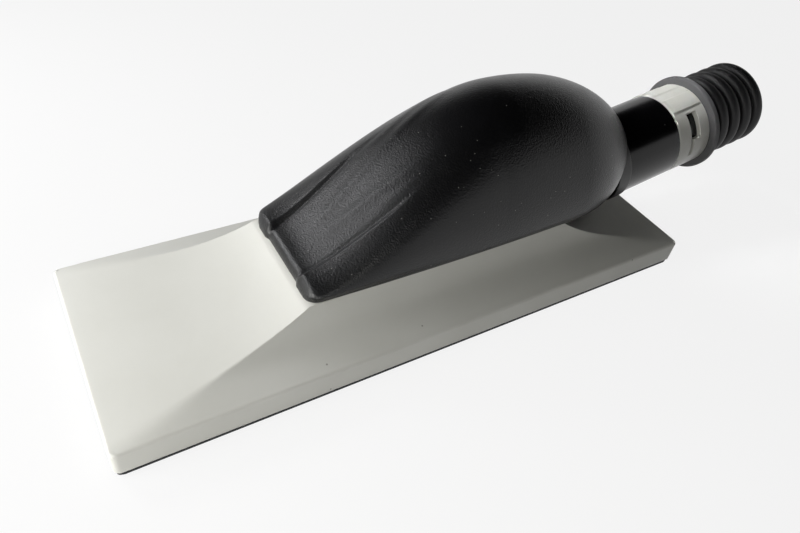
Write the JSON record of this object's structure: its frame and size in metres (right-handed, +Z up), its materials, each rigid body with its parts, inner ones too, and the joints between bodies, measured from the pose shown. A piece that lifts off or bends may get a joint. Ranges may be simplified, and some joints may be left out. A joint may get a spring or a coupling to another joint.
{
  "type": "sanding block",
  "caption": "Hand sanding block with dust extraction: flat hook-faced sole, hollow base, mushroom grip, and a tilted outlet with bleed-air ring and swivelling ribbed hose nipple.",
  "frame": {"origin": "centre of the hook pad's underside, the face that lies on the work", "axes": "+X along the block towards the hose outlet, +Y across the block, +Z up from the work"},
  "size_m": [0.2523, 0.07, 0.0662],
  "materials": {
    "hook_face": "woven hook pile",
    "foam": "closed-cell foam",
    "sole_plastic": "moulded",
    "gasket_foam": "foam strip",
    "steel": "zinc plated",
    "white_abs": "moulded, satin",
    "duct_plastic": "moulded",
    "seal_rubber": "moulded",
    "core_plastic": "moulded",
    "grip_rubber": "fine grain",
    "black_gloss": "polished",
    "collar_plastic": "moulded",
    "ring_plastic": "moulded",
    "washer_plastic": "acetal",
    "flange_rubber": "moulded",
    "nipple_rubber": "ribbed"
  },
  "bodies": {
    "block": {"hook_face": "hook_face", "pad_foam": "foam", "sole_plate": "sole_plastic", "sole_gasket": "gasket_foam", "sole_screws": "steel", "base_shell": "white_abs", "duct_gasket": "gasket_foam", "dust_duct": "duct_plastic", "duct_oring": "seal_rubber", "grip_core": "core_plastic", "grip_cover": "grip_rubber", "grip_screws": "steel", "outlet_tube": "black_gloss", "outlet_collar": "collar_plastic", "stop_pin": "steel", "slip_washer": "washer_plastic"},
    "regulator": {"regulator_ring": "ring_plastic"},
    "hose_end": {"swivel_sleeve": "flange_rubber", "swivel_oring": "seal_rubber", "snap_ring": "steel", "hose_nipple": "nipple_rubber"}
  },
  "joints": [
    {"name": "regulator_turn", "type": "hinge", "parent": "block", "child": "regulator", "pos_m": [0.11495, 0, 0.03323], "axis": [0.9874, 0, 0.1582], "range_deg": [0, 65]},
    {"name": "hose_swivel", "type": "hinge", "parent": "block", "child": "hose_end", "pos_m": [0.12443, 0, 0.03475], "axis": [0.9874, 0, 0.1582], "continuous": true}
  ]
}
